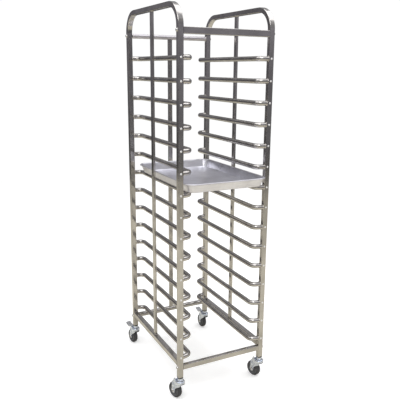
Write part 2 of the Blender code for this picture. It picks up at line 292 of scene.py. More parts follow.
def satin_steel(name, axis):
    """The rear top bar's tube: duller than the frame and evenly ground along its length."""
    m = Nodes(name)
    cloud = m.noise(22.0, along(axis, 0.25), detail=4.0)
    lines = m.noise(900.0, along(axis, 0.015), detail=3.0, offset=3.0)
    colour = m.ramp(cloud, [(0.34, (0.47, 0.45, 0.47)), (0.66, (0.62, 0.60, 0.63))])
    m.set(Base_Color=colour, Metallic=0.8, Roughness=m.spread(lines, 0.36, 0.50))
    m.bump([(cloud, 0.0006), (lines, 0.000006)])
    return m.material


def rolled_aluminium(name):
    """A used bakery pan: satin sheet, rolling lines, rubbed clouds and fine scratches."""
    m = Nodes(name)
    cloud = m.noise(9.0, detail=5.0, rough=0.6)
    rolling = m.noise(650.0, along("Y", 0.02), detail=2.0)
    scratches = m.noise(420.0, (1.0, 0.05, 1.0), detail=3.0, offset=6.0)
    wiped = m.noise(130.0, (0.12, 1.0, 1.0), detail=4.0, offset=9.0)
    colour = m.ramp(cloud, [(0.34, (0.72, 0.72, 0.78)), (0.66, (0.88, 0.88, 0.94))])
    colour = m.blend(colour, (0.50, 0.50, 0.55), m.spread(wiped, 0.0, 0.35, 0.50, 0.76))
    rough = m.math("ADD", m.spread(cloud, 0.25, 0.40), m.spread(scratches, -0.03, 0.06))
    m.set(Base_Color=colour, Metallic=0.86, Roughness=rough)
    m.bump([(cloud, 0.0012), (rolling, 0.000006), (scratches, 0.00001)])
    return m.material


def wheel_rubber(name):
    """Grey thermoplastic rubber with floor dust and a fine moulded grain."""
    m = Nodes(name)
    dust = m.noise(90.0, detail=6.0, rough=0.65)
    grain = m.noise(1500.0, detail=2.0, offset=4.0)
    colour = m.ramp(dust, [(0.35, (0.040, 0.041, 0.046)), (0.75, (0.090, 0.090, 0.094))])
    m.set(Base_Color=colour, Roughness=m.spread(dust, 0.52, 0.80), Specular_IOR_Level=0.4)
    m.bump([(grain, 0.00012), (dust, 0.0001)])
    return m.material


def hub_plastic(name):
    """Moulded polypropylene, a little lighter and smoother than the tyre."""
    m = Nodes(name)
    flow = m.noise(70.0, detail=3.0)
    grain = m.noise(1100.0, detail=2.0, offset=7.0)
    colour = m.ramp(flow, [(0.30, (0.095, 0.098, 0.106)), (0.70, (0.150, 0.153, 0.162))])
    m.set(Base_Color=colour, Roughness=m.spread(flow, 0.34, 0.50))
    m.bump([(grain, 0.00006)])
    return m.material


def black_plastic(name):
    """The plug in a post's foot: black, satin, finely textured."""
    m = Nodes(name)
    flow = m.noise(120.0, detail=3.0)
    grain = m.noise(1800.0, detail=2.0, offset=1.0)
    colour = m.ramp(flow, [(0.30, (0.012, 0.012, 0.014)), (0.70, (0.026, 0.026, 0.028))])
    m.set(Base_Color=colour, Roughness=m.spread(grain, 0.38, 0.55))
    m.bump([(grain, 0.00008)])
    return m.material


def pale_floor(name):
    """White to look at, with soft shadows; warm and darker where the metal mirrors it, with a painted pool
    of light there that is brightest near the middle.
    """
    m = Nodes(name)
    cloud = m.noise(2.4, detail=4.0)
    colour = m.ramp(cloud, [(0.35, (0.60, 0.57, 0.475)), (0.65, (0.76, 0.715, 0.60))])
    reach = m.add("ShaderNodeVectorMath", operation="LENGTH")
    m.link(m.places, reach.inputs[0])
    # painted pool of light: the mirrored floor is brightest near the middle and darker farther out
    painted_light_pool = m.spread(reach.outputs["Value"], 1.12, 0.84, 0.6, 4.5)
    m.set(Base_Color=m.blend((0.0, 0.0, 0.0), colour, painted_light_pool), Roughness=0.8)
    seen = m.add("ShaderNodeBsdfDiffuse")
    seen.inputs["Color"].default_value = (0.93, 0.93, 0.93, 1.0)
    glow = m.add("ShaderNodeEmission")
    glow.inputs["Strength"].default_value = FLOOR_GLOW
    both = m.add("ShaderNodeAddShader")
    mix = m.add("ShaderNodeMixShader")
    ray = m.add("ShaderNodeLightPath")
    m.link(seen.outputs[0], both.inputs[0])
    m.link(glow.outputs[0], both.inputs[1])
    m.link(ray.outputs["Is Camera Ray"], mix.inputs[0])
    m.link(m.shader.outputs[0], mix.inputs[1])
    m.link(both.outputs[0], mix.inputs[2])
    m.link(mix.outputs[0], m.tree.nodes["Material Output"].inputs["Surface"])
    return m.material


FINISHES = {
    "steel_x": (polished_steel("polished_steel_x", "X"), "stainless_steel"),
    "steel_y": (polished_steel("polished_steel_y", "Y"), "stainless_steel"),
    "steel_z": (polished_steel("polished_steel_z", "Z"), "stainless_steel"),
    "weld": (weld_metal("weld_metal"), "stainless_steel"),
    "bolt": (bright_steel("bright_steel"), "stainless_steel"),
    "rivet": (rivet_steel_painted_highlight("rivet_steel_painted_highlight"), "stainless_steel"),
    "satin": (satin_steel("satin_steel_x", "X"), "stainless_steel"),
    "zinc": (zinc_plate("zinc_plate_bright"), "zinc_plate"),
    "pedal": (worn_zinc("zinc_plate_worn"), "zinc_plate"),
    "aluminium": (rolled_aluminium("rolled_aluminium"), "aluminium_sheet"),
    "rubber": (wheel_rubber("wheel_rubber"), "grey_rubber"),
    "hub": (hub_plastic("hub_plastic"), "grey_rubber"),
    "plastic": (black_plastic("plug_plastic"), "black_plastic"),
}


# ---------------------------------------------------------------- mesh helpers


def place(name, bm, finish, body="rack", stands_for=(), matrix=None, bevel=0.0, flats=False):
    """Makes a piece of a bmesh, with its finish, on its body, for the CAD nodes it replaces."""
    bmesh.ops.recalc_face_normals(bm, faces=bm.faces)
    mesh = bpy.data.meshes.new(name)
    bm.to_mesh(mesh)
    bm.free()
    mesh.shade_smooth()
    mesh.set_sharp_from_angle(angle=SHARP)
    obj = bpy.data.objects.new(name, mesh)
    bpy.context.collection.objects.link(obj)
    made, slot = FINISHES[finish]
    mesh.materials.append(made)
    if matrix is not None:
        obj.matrix_world = matrix
    if bevel:
        rounding = obj.modifiers.new("edges", "BEVEL")
        rounding.width = bevel
        rounding.segments = 3
        rounding.limit_method = "ANGLE"
        rounding.angle_limit = SHARP
    if bevel or flats:
        obj.modifiers.new("flat_faces", "WEIGHTED_NORMAL").keep_sharp = True
    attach(obj, body)
    if stands_for:
        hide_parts(*stands_for)
    return obj


def circle(radius, sides):
    turns = [math.tau * k / sides for k in range(sides)]
    return [(radius * math.cos(t), radius * math.sin(t)) for t in turns]


def rounded_rectangle(wide, tall, radius, steps):
    points = []
    for quarter, (sx, sy) in enumerate(((1, 1), (-1, 1), (-1, -1), (1, -1))):
        cx, cy = sx * (wide / 2 - radius), sy * (tall / 2 - radius)
        for step in range(steps + 1):
            turn = math.pi / 2 * (quarter + step / steps)
            points.append((cx + radius * math.cos(turn), cy + radius * math.sin(turn)))
    return points


def arc(centre, radius, start, end, steps):
    """(x, z) points round a centre, from start to end in degrees."""
    turns = [math.radians(start + (end - start) * k / steps) for k in range(steps + 1)]
    return [(centre[0] + radius * math.cos(t), centre[1] + radius * math.sin(t)) for t in turns]


def filleted(corners, radius, steps):
    """(path, bend): a bent line's points, and how far into a bend each one is, 0 to 1."""
    path, bend = [corners[0]], [0.0]
    for before, corner, after in zip(corners, corners[1:], corners[2:]):
        back, on = (before - corner).normalized(), (after - corner).normalized()
        half = back.angle(on) / 2
        centre = corner + (back + on).normalized() * radius / math.sin(half)
        start = corner + back * radius / math.tan(half) - centre
        axis = start.cross(corner - centre).normalized()
        for step in range(steps + 1):
            turn = Matrix.Rotation((math.pi - 2 * half) * step / steps, 3, axis)
            path.append(centre + turn @ start)
            bend.append(math.sin(math.pi * step / steps))
    path.append(corners[-1])
    bend.append(0.0)
    return path, bend


def bridge(bm, ring, following):
    for k in range(len(ring)):
        nxt = (k + 1) % len(ring)
        bm.faces.new((ring[k], ring[nxt], following[nxt], following[k]))


def lofted(loops, closed=False):
    """A solid through loops of points, capped at both ends or closed on itself."""
    bm = bmesh.new()
    rings = [[bm.verts.new(point) for point in loop] for loop in loops]
    for ring, following in zip(rings, rings[1:]):
        bridge(bm, ring, following)
    if closed:
        bridge(bm, rings[-1], rings[0])
    else:
        bm.faces.new(rings[0])
        bm.faces.new(rings[-1])
    return bm


def stepped(wide, tall, corner_at, steps, layers):
    """A rounded block through (inset, height) layers. corner_at gives an inset's corner radius."""
    loops = []
    for inset, height in layers:
        loop = rounded_rectangle(wide - 2 * inset, tall - 2 * inset, corner_at(inset), steps)
        loops.append([(x, y, height) for x, y in loop])
    return lofted(loops)


def swept(path, section, normal, bend=None):
    """A solid of section along a flat path. A section point (a, b) is a across and b along normal."""
    loops = []
    for index, point in enumerate(path):
        into = (point - path[max(index - 1, 0)]).normalized()
        out = (path[min(index + 1, len(path) - 1)] - point).normalized()
        tangent = (into + out).normalized()
        mitre = 1 / max(tangent.dot(out if index == 0 else into), 0.5)
        side = normal.cross(tangent) * mitre
        share = bend[index] if bend else 0.0
        narrow, tall = 1 - BEND_SQUEEZE * share, 1 + 0.4 * BEND_SQUEEZE * share
        loops.append([point + side * a * narrow + normal * b * tall for a, b in section])
    return lofted(loops)


def turned(profile, sides=32, axis="Z", closed=False, facets=None):
    """A solid turned from (radius, height) points. facets maps a point's index to a side count."""
    loops = []
    for index, (radius, height) in enumerate(profile):
        loop = []
        for k in range(sides):
            turn = math.tau * k / sides
            reach = radius
            if facets and index in facets:
                wedge = math.tau / facets[index]
                reach = radius * math.cos(wedge / 2) / math.cos((turn % wedge) - wedge / 2)
            a, b = reach * math.cos(turn), reach * math.sin(turn)
            loop.append((a, b, height) if axis == "Z" else (a, height, b))
        loops.append(loop)
    return lofted(loops, closed)


def extruded(outline, low, high):
    """A solid of an outline of (x, z) points between two Y heights."""
    return lofted([(x, y, z) for x, z in outline] for y in (low, high))


def joined(parts):
    """One bmesh of several, each given as (bmesh, matrix)."""
    whole = bmesh.new()
    for bm, matrix in parts:
        bmesh.ops.transform(bm, matrix=matrix, verts=bm.verts)
        mesh = bpy.data.meshes.new("part")
        bm.to_mesh(mesh)
        bm.free()
        whole.from_mesh(mesh)
        bpy.data.meshes.remove(mesh)
    return whole


def facing(point, axis):
    """A matrix that puts a shape's +Z along axis, at point."""
    return Matrix.Translation(point) @ axis.to_track_quat("Z", "Y").to_matrix().to_4x4()


def weld_bead(loop, radius, seed):
    """A rippled bead of weld along a closed flat loop of (x, y) points, in the XY plane."""
    draw = random.Random(seed)
    loops = []
    count = len(loop)
    phase = draw.uniform(0, math.tau)
    for k, (x, y) in enumerate(loop):
        before, after = Vector(loop[k - 1]), Vector(loop[(k + 1) % count])
        out = (after - before).normalized()
        out = Vector((out.y, -out.x))
        size = radius * (1 + 0.10 * math.sin(phase + 2.1 * k) + draw.uniform(-0.07, 0.07))
        loops.append([(x + out.x * a, y + out.y * a, b) for a, b in circle(size, 7)])
    return lofted(loops, closed=True)


# ---------------------------------------------------------------- the CAD's sizes


def middle(node):
    low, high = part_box(node)
    return (low + high) / 2


def size(node):
    low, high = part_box(node)
    return high - low


POST = {c: middle(f"{c}_stem_plug") for c in CORNERS}
TUBE_WIDE = size("left_side_frame").x
TUBE_THICK = size("front_left_stem_plug").y
POST_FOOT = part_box("left_side_frame")[0].z
FRAME_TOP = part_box("left_side_frame")[1].z
RUNNER_RADIUS = size("left_runner_01").z / 2
MIDDLE = (POST["rear_left"] + POST["front_right"]) / 2


# ---------------------------------------------------------------- the frame


def side_frame(side):
    """The inverted U of one side."""
    front, rear = POST[f"front_{side}"], POST[f"rear_{side}"]
    top = FRAME_TOP - TUBE_THICK / 2
    corners = [
        Vector((front.x, front.y, POST_FOOT)),
        Vector((front.x, front.y, top)),
        Vector((rear.x, rear.y, top)),
        Vector((rear.x, rear.y, POST_FOOT)),
    ]
    path, bend = filleted(corners, FRAME_BEND, 20)
    section = rounded_rectangle(TUBE_THICK, TUBE_WIDE, TUBE_CORNER, 5)
    bm = swept(path, section, X_AXIS, [b * 0.5 for b in bend])
    place(f"{side}_frame_tube", bm, "steel_z", stands_for=[f"{side}_side_frame"], flats=True)


def straight_tube(name, node, axis, corner, finish):
    """A rectangular tube that fills a CAD node's box, with rounded edges."""
    low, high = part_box(node)
    centre = (low + high) / 2
    half = (high - low).dot(axis) / 2
    across = X_AXIS if axis != X_AXIS else Y_AXIS
    normal = axis.cross(across)
    extent = high - low
    wide = abs(extent.dot(normal.cross(axis)))
    tall = abs(extent.dot(normal))
    section = rounded_rectangle(wide, tall, corner, 5)
    path = [centre - axis * half, centre + axis * half]
    place(name, swept(path, section, normal), finish, stands_for=[node], flats=True)


def runner(side, tier):
    """A round tube bent at both ends, welded to the front and rear posts."""
    node = f"{side}_runner_{tier:02d}"
    low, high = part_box(node)
    inward = 1 if side == "left" else -1
    root = low.x if side == "left" else high.x
    run = (high.x if side == "left" else low.x) - inward * RUNNER_RADIUS
    front, rear = POST[f"front_{side}"].y, POST[f"rear_{side}"].y
    z = (low.z + high.z) / 2
    corners = [
        Vector((root + inward * RUNNER_LEAD, front, z)),
        Vector((run, front + RUNNER_SPLAY, z)),
        Vector((run, rear - RUNNER_SPLAY, z)),
        Vector((root + inward * RUNNER_LEAD, rear, z)),
    ]
    path, bend = filleted(corners, RUNNER_BEND, 10)
    path = [Vector((root, front, z)), *path, Vector((root, rear, z))]
    bend = [0.0, *bend, 0.0]
    bm = swept(path, circle(RUNNER_RADIUS, 24), Z_AXIS, bend)
    place(f"{side}_runner_tube_{tier:02d}", bm, "steel_y", stands_for=[node])


def runner_welds(side):
    """The beads round every runner's two ends on one side."""
    inward = 1 if side == "left" else -1
    parts = []
    for tier in TIERS:
        low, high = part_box(f"{side}_runner_{tier:02d}")
        root = low.x if side == "left" else high.x
        for end, post in enumerate((POST[f"front_{side}"], POST[f"rear_{side}"])):
            bead = weld_bead(circle(RUNNER_RADIUS + 0.0002, 44), RUNNER_BEAD, 100 * tier + end)
            point = Vector((root, post.y, (low.z + high.z) / 2))
            parts.append((bead, facing(point, X_AXIS * inward)))
    place(f"{side}_runner_welds", joined(parts), "weld")


def frame_welds(side):
    """The beads where the bottom rail meets the posts and the upright meets rail and top."""
    parts = []
    rail_low, rail_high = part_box(f"{side}_bottom_rail")
    centre, extent = (rail_low + rail_high) / 2, rail_high - rail_low
    rail_loop = rounded_rectangle(extent.z, extent.x, TUBE_CORNER, 5)
    for end, (y, axis) in enumerate(((rail_low.y, -Y_AXIS), (rail_high.y, Y_AXIS))):
        loop = spaced(rail_loop, BEAD_STEP)
        turn = axis.to_track_quat("Z", "X").to_matrix().to_4x4()
        at = Matrix.Translation((centre.x, y, centre.z))
        parts.append((weld_bead(loop, RAIL_BEAD, 11 + end), at @ upright_turn(turn)))
    low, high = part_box(f"{side}_centre_upright")
    centre, extent = (low + high) / 2, high - low
    loop = spaced(rounded_rectangle(extent.x, extent.y, UPRIGHT_CORNER, 5), BEAD_STEP)
    for end, z in enumerate((low.z, high.z)):
        at = Matrix.Translation((centre.x, centre.y, z))
        parts.append((weld_bead(loop, UPRIGHT_BEAD, 31 + end), at))
    place(f"{side}_frame_welds", joined(parts), "weld")


def upright_turn(turn):
    """A loop drawn as (tall, wide) stands up, whichever way the track turned it."""
    probe = (turn @ Vector((1, 0, 0))).normalized()
    return turn if abs(probe.z) > 0.5 else turn @ Matrix.Rotation(math.pi / 2, 4, "Z")


def spaced(loop, step):
    """The same closed loop with points at even steps, so that a bead ripples evenly."""
    points = []
    for k, point in enumerate(loop):
        start, end = Vector(point), Vector(loop[(k + 1) % len(loop)])
        count = max(1, round((end - start).length / step))
        points += [tuple(start.lerp(end, n / count)) for n in range(count)]
    return points


def round_bar(name, node, finish):
    """A round cross bar with a thin collar at each end."""
    low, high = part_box(node)
    centre = (low + high) / 2
    radius = (high.z - low.z) / 2
    path = [Vector((x, centre.y, centre.z)) for x in (low.x, high.x)]
    place(name, swept(path, circle(radius, 32), Z_AXIS), finish, stands_for=[node])
    collar = [(radius, 0.0), (radius + 0.0008, 0.0003), (radius + 0.0010, 0.0012)]
    collar += [(radius + 0.0006, 0.0026), (radius - 0.0003, 0.0032)]
    parts = [
        (turned(collar, 32), facing(path[0], X_AXIS)),
        (turned(collar, 32), facing(path[1], -X_AXIS)),
    ]
    place(f"{name}_collars", joined(parts), "bolt")


def dome_bolt():
    """A button head with a hexagon socket, on a washer; its seat is at z = 0."""
    washer = [(0.0088, 0.0), (0.0092, 0.0003), (0.0092, 0.0011), (0.0086, 0.0014)]
    head = [(0.0068, 0.0014), (0.0068, 0.0022), (0.0064, 0.0036), (0.0055, 0.0048)]
    head += [(0.0044, 0.0055), (0.0034, 0.0057)]
    socket = [(0.0030, 0.0056), (0.0029, 0.0050), (0.0029, 0.0032), (0.0004, 0.0030)]
    first = len(washer) + len(head)
    facets = {first + k: 6 for k in range(3)}
    return turned(washer + head + socket, 36, facets=facets)


def bar_bolts():
    """Each cross bar is held by a bolt through the post at each of its ends."""
    for bar, end in (
        ("front_top_bar", "front"),
        ("front_bottom_bar", "front"),
        ("rear_top_bar", "rear"),
        ("rear_bottom_bar", "rear"),
    ):
        z = middle(bar).z
        for side, outward in (("left", -1), ("right", 1)):
            post = POST[f"{end}_{side}"]
            point = Vector((post.x + outward * TUBE_WIDE / 2, post.y, z))
            matrix = facing(point, X_AXIS * outward)
            place(f"{bar}_{side}_bolt", dome_bolt(), "bolt", matrix=matrix)


def post_rivets(corner):
    """Small domes on a post's outer face, one behind each runner's end."""
    end, side = corner.split("_")
    outward = Y_AXIS if end == "rear" else -Y_AXIS
    profile = [(0.0046, -0.0003), (0.0044, 0.0006), (0.0036, 0.0014), (0.0020, 0.0019), (0.0002, 0.0021)]
    parts = []
    for tier in TIERS:
        z = middle(f"{side}_runner_{tier:02d}").z
        point = Vector((POST[corner].x, POST[corner].y, z)) + outward * TUBE_THICK / 2
        parts.append((turned(profile, 20), facing(point, outward)))
    place(f"{corner}_post_rivets", joined(parts), "rivet")


def the_frame():
    for side in SIDES:
        side_frame(side)
        straight_tube(f"{side}_rail_tube", f"{side}_bottom_rail", Y_AXIS, TUBE_CORNER, "steel_y")
        straight_tube(f"{side}_upright_tube", f"{side}_centre_upright", Z_AXIS, UPRIGHT_CORNER, "steel_z")
        for tier in TIERS:
            runner(side, tier)
        runner_welds(side)
        frame_welds(side)
    straight_tube("front_top_tube", "front_top_bar", X_AXIS, BAR_CORNER, "steel_x")
    straight_tube("rear_upright_tube", "rear_centre_upright", Z_AXIS, UPRIGHT_CORNER, "steel_z")
    straight_tube("front_bottom_tube", "front_bottom_bar", X_AXIS, BAR_CORNER, "steel_x")
    round_bar("rear_top_tube", "rear_top_bar", "satin")
    round_bar("rear_bottom_tube", "rear_bottom_bar", "steel_x")
    bar_bolts()
    for corner in CORNERS:
        post_rivets(corner)


# ---------------------------------------------------------------- the pan


def the_pan():
    """A pressed tray: flat floor, rolled base edge, sloping walls and a rim rolled over a wire."""
    low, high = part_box("sheet_pan")
    centre, extent = (low + high) / 2, high - low
    sheet, bead, taper, corner, tightest = 0.0011, 0.0034, 0.012, 0.045, 0.006
    outer_bend, inner_bend = 0.008, 0.007
    tall = extent.z
    wall_top = 2 * bead
    foot = taper + wall_top
    outside = [(foot + 0.014, 0.0), (foot + outer_bend, 0.0)]
    outside += [
        (foot + outer_bend - outer_bend * math.sin(t), outer_bend - outer_bend * math.cos(t))
        for t in (math.radians(a) for a in (20, 40, 60, 75))
    ]
    outside += [(wall_top + 0.0006, tall - bead - 0.003)]
    rim = [
        (bead - bead * math.cos(math.radians(a)), tall - bead + bead * math.sin(math.radians(a)))
        for a in (-110, -80, -50, -20, 10, 40, 70, 90, 120, 145)
    ]
    inside = [(wall_top + sheet + 0.0012, tall - 0.0042)]
    inside += [
        (
            foot + sheet + inner_bend - inner_bend * math.sin(t),
            sheet + inner_bend - inner_bend * math.cos(t),
        )
        for t in (math.radians(a) for a in (75, 60, 40, 20, 0))
    ]
    inside += [(foot + 0.030, sheet)]
    layers = outside + rim + inside
    bm = stepped(extent.x, extent.y, lambda inset: max(corner - inset, tightest), 12, layers)
    bmesh.ops.translate(bm, verts=bm.verts, vec=(centre.x, centre.y, low.z))
    place("pan_body", bm, "aluminium", "pan", ["sheet_pan"], flats=True)


# ---------------------------------------------------------------- the casters


# In a caster's own frame the swivel axis is Z and the wheel trails to +X
TRAIL = 0.033
WHEEL_RADIUS = size("front_left_caster_wheel").z / 2
AXLE = (TRAIL, WHEEL_RADIUS)
HALF_WHEEL = 0.0115
FORK_INSIDE = 0.0132
FORK_PLATE = 0.0025
YOKE_ROOF = 0.0815
PEDAL_PIVOT = (0.022, 0.101)
PEDAL_BEND = Vector((0.035, -0.014))  # from the pivot
PEDAL_TIP = Vector((0.071, -0.004))
PEDAL_WIDE = 0.028
BEHIND_BOWL = 0.0170  # where the roof ends and the gap between the ears begins
EARS_FLOOR = 0.0842


def caster_matrix(corner):
    """The caster's frame: on the floor under the post, turned the way the wheel trails."""
    post = POST[corner]
    wheel = middle(f"{corner}_caster_wheel")
    turn = math.atan2(wheel.y - post.y, wheel.x - post.x)
    return Matrix.Translation((post.x, post.y, 0)) @ Matrix.Rotation(turn, 4, "Z")


def fork_leg_outline():
    """A leg from the side, as (x, z): front edge, round foot, rear edge, ear, and under the bowl."""
    outline = [(-0.0150, 0.0938), (-0.0152, 0.0790), (-0.0130, 0.0745), (-0.0020, 0.0665)]
    outline += [(0.0100, 0.0592), (0.0170, 0.0535), (0.0202, 0.0480), (0.0212, 0.0430)]
    outline += arc(AXLE, 0.0118, 205, 352, 14)
    outline += [(0.0418, 0.0490), (0.0414, 0.0790), (0.0398, 0.0846), (0.0345, 0.0886)]
    outline += [(0.0305, 0.0930)]
    outline += arc(PEDAL_PIVOT, 0.0065, -15, 130, 9)
    return outline + [(0.0150, 0.0985), (0.0142, 0.0938)]


def object_of(name, bm):
    """A bare object of a bmesh, for a Boolean."""
    bmesh.ops.recalc_face_normals(bm, faces=bm.faces)
    mesh = bpy.data.meshes.new(name)
    bm.to_mesh(mesh)
    bm.free()
    obj = bpy.data.objects.new(name, mesh)
    bpy.context.collection.objects.link(obj)
    return obj


def cut(obj, bm):
    """Cuts a bmesh out of an object, in the object's own frame."""
    cutter = object_of("cutter", bm)
    modifier = obj.modifiers.new("shape", "BOOLEAN")
    modifier.operation = "DIFFERENCE"
    modifier.object = cutter
    graph = bpy.context.evaluated_depsgraph_get()
    shaped = bpy.data.meshes.new_from_object(obj.evaluated_get(graph))
    obj.modifiers.clear()
    obj.data = shaped
    bpy.data.objects.remove(cutter, do_unlink=True)


def box_bmesh(low, high):
    bm = bmesh.new()
    extent = Vector(high) - Vector(low)
    matrix = Matrix.Translation((Vector(high) + Vector(low)) / 2)
    bmesh.ops.create_cube(bm, size=1.0, matrix=matrix @ Matrix.Diagonal((*extent, 1.0)))
    return bm


def yoke_bmesh():
    """The pressed yoke: two legs with ears for a brake, and the roof that joins them."""
    half = FORK_INSIDE + FORK_PLATE
    obj = object_of("yoke", extruded(fork_leg_outline(), -half, half))
    bpy.context.view_layer.update()
    under_roof = ((-0.04, 0.0), (0.07, YOKE_ROOF))
    between_ears = ((BEHIND_BOWL, EARS_FLOOR), (0.07, 0.12))
    for low, high in (under_roof, between_ears):
        cut(obj, box_bmesh((low[0], -FORK_INSIDE, low[1]), (high[0], FORK_INSIDE, high[1])))
    bm = bmesh.new()
    bm.from_mesh(obj.data)
    bpy.data.objects.remove(obj, do_unlink=True)
    return bm


def yoke_pressings():
    """What is pressed into each leg: a long rib over the axle and a round boss by the bowl."""
    half = FORK_INSIDE + FORK_PLATE
    boss = [(0.0050, -0.0004), (0.0048, 0.0005), (0.0040, 0.0010), (0.0031, 0.0008), (0.0004, 0.0004)]
    rib_layers = ((0.0, -0.0004), (0.0005, 0.0008), (0.0016, 0.0014))
    parts = []
    for sign in (-1, 1):
        rib = stepped(0.0072, 0.0270, lambda inset: 0.0034 - inset, 5, rib_layers)
        turn = Matrix.Rotation(math.pi / 2 * -sign, 4, "X")
        parts.append((rib, Matrix.Translation((0.0350, sign * half, 0.0665)) @ turn))
        parts.append((turned(boss, 28), Matrix.Translation((0.0125, sign * half, 0.0690)) @ turn))
    return joined(parts)


def crown_bmesh():
    """The swivel head: a deep bowl, the groove that the dark ring sits in, and the neck."""
    profile = [(0.0150, 0.0846), (0.0188, 0.0848), (0.0208, 0.0854), (0.0219, 0.0868)]
    profile += [(0.0222, 0.0885), (0.0222, 0.0915), (0.0219, 0.0940), (0.0210, 0.0961)]
    profile += [(0.0196, 0.0975), (0.0176, 0.0983), (0.0152, 0.0986), (0.0148, 0.0992)]
    profile += [(0.0150, 0.1014), (0.0140, 0.1022), (0.0126, 0.1036), (0.0122, 0.1056), (0.0122, 0.1112)]
    profile += [(0.0128, 0.1117)]
    return turned(profile, 56)


def dust_ring_bmesh():
    """A dark ring over the balls, between the bowl and the neck."""
    profile = [(0.0140, 0.0990), (0.0160, 0.0991), (0.0165, 0.0997), (0.0165, 0.1008)]
    profile += [(0.0159, 0.1014), (0.0140, 0.1015)]
    return turned(profile, 56, closed=True)


def tyre_bmesh():
    """A tyre with a moulded line round each side wall."""
    w, r = HALF_WHEEL, WHEEL_RADIUS
    half = [(0.0296, 0.0), (0.0296, -0.0065), (0.0299, -w + 0.0020), (0.0303, -w + 0.0006)]
    half += [(0.0310, -w), (0.0320, -w), (0.0325, -w + 0.0011), (0.0330, -w + 0.0002)]
    half += [(0.0340, -w + 0.0008), (0.0354, -w + 0.0020), (0.0365, -w + 0.0040)]
    half += [(r, -w + 0.0062), (r, -0.0003)]
    profile = half + [(radius, -height) for radius, height in reversed(half[1:])]
    return turned(profile, 72, "Y", closed=True)


def hub_bmesh():
    """A moulded hub: bore boss, thin web, outer ring and six ribs on each face."""
    w = HALF_WHEEL
    half = [(0.0043, -w + 0.0004), (0.0052, -w), (0.0096, -w), (0.0106, -w + 0.0008)]
    half += [(0.0112, -0.0064), (0.0120, -0.0056), (0.0258, -0.0056), (0.0266, -0.0064)]
    half += [(0.0271, -w + 0.0016), (0.0277, -w + 0.0008), (0.0290, -w + 0.0008), (0.0296, -w + 0.0018)]
    half += [(0.0296, 0.0)]
    profile = half + [(radius, -height) for radius, height in reversed(half[:-1])]
    parts = [(turned(profile, 56, "Y", closed=True), Matrix.Identity(4))]
    for k in range(6):
        for sign in (-1, 1):
            low, high = sorted((sign * 0.0054, sign * (w - 0.0022)))
            rib = box_bmesh((0.0105, low, -0.0012), (0.0274, high, 0.0012))
            parts.append((rib, Matrix.Rotation(math.tau * k / 6, 4, "Y")))
    return joined(parts)


def axle_bmesh():
    """The axle: a tubular rivet with a washer and a rolled, hollow head on each side."""
    seat = FORK_INSIDE + FORK_PLATE
    head = [(0.0072, 0.0), (0.0074, 0.0003), (0.0074, 0.0010), (0.0070, 0.0013), (0.0062, 0.0014)]
    head += [(0.0061, 0.0026), (0.0056, 0.0033), (0.0046, 0.0035), (0.0036, 0.0032)]
    head += [(0.0037, 0.0024), (0.0036, 0.0010), (0.0036, -0.0060), (0.0004, -0.0062)]
    shaft = turned([(0.0040, -seat), (0.0040, seat)], 24, "Y")
    return joined(
        [
            (shaft, Matrix.Identity(4)),
            (turned(head, 36), facing(Vector((0, -seat, 0)), -Y_AXIS)),
            (turned(head, 36), facing(Vector((0, seat, 0)), Y_AXIS)),
        ]
    )


def strip(points, half):
    """The outline of a bent strip of metal, half thick on each side of a line."""
    upper, lower = [], []
    for index, point in enumerate(points):
        into = (point - points[max(index - 1, 0)]).normalized()
        out = (points[min(index + 1, len(points) - 1)] - point).normalized()
        along_it = (into + out).normalized()
        over = Vector((-along_it.y, along_it.x)) * half
        upper.append(tuple(point + over))
        lower.append(tuple(point - over))
    return upper + lower[::-1]


def pedal_bmesh():
    """The brake's foot lever: rolled eye and pin, bent arm, and a wide ridged pad."""
    arm_half = FORK_INSIDE - 0.0008
    arm = [Vector((0.0, 0.0)), PEDAL_BEND * 0.55 + Vector((0, 0.0022)), PEDAL_BEND]
    onward = PEDAL_TIP - PEDAL_BEND
    arm.append(PEDAL_BEND + onward * 0.25)
    parts = [(extruded(strip(arm, 0.0011), -arm_half, arm_half), Matrix.Identity(4))]
    for sign in (-1, 1):
        low, high = sorted((sign * arm_half, sign * (arm_half - 0.0012)))
        lip = [tuple(p) for p in arm[:3]] + [tuple(p - Vector((0, 0.0050))) for p in arm[2:0:-1]]
        parts.append((extruded(lip, low, high), Matrix.Identity(4)))
    eye = [(0.0030, -arm_half), (0.0036, 0.0006 - arm_half)]
    eye += [(0.0036, arm_half - 0.0006), (0.0030, arm_half)]
    parts.append((turned(eye, 28, "Y"), Matrix.Identity(4)))
    seat = FORK_INSIDE + FORK_PLATE
    for sign in (-1, 1):
        pin = [(0.0020, 0.0), (0.0020, seat + 0.0002), (0.0038, seat + 0.0004), (0.0038, seat + 0.0014)]
        pin += [(0.0030, seat + 0.0022), (0.0010, seat + 0.0024)]
        parts.append((turned([(a, sign * b) for a, b in pin], 24, "Y"), Matrix.Identity(4)))

    length, wide, overlap, ridge_margin = onward.length + 0.002, PEDAL_WIDE, 0.002, 0.0035
    layers = ((0.0016, -0.0034), (0.0, -0.0030), (0.0, 0.0004), (0.0008, 0.0013), (0.0020, 0.0016))
    pad = stepped(length, wide, lambda inset: 0.0055 - inset, 6, layers)
    pad_parts = [(pad, Matrix.Translation((length / 2 - overlap, 0, 0)))]
    ridge_end = wide / 2 - ridge_margin
    last_ridge, ridge_pitch = length - 0.0065, 0.0046
    for k in range(5):
        ridge = extruded([(-0.0009, 0.0012), (0.0, 0.0025), (0.0009, 0.0012)], -ridge_end, ridge_end)
        pad_parts.append((ridge, Matrix.Translation((last_ridge - ridge_pitch * k, 0, 0))))
    rise = math.atan2(onward.y, onward.x)
    place_pad = Matrix.Translation((PEDAL_BEND.x, 0, PEDAL_BEND.y)) @ Matrix.Rotation(-rise, 4, "Y")
    return joined(parts + [(joined(pad_parts), place_pad)])


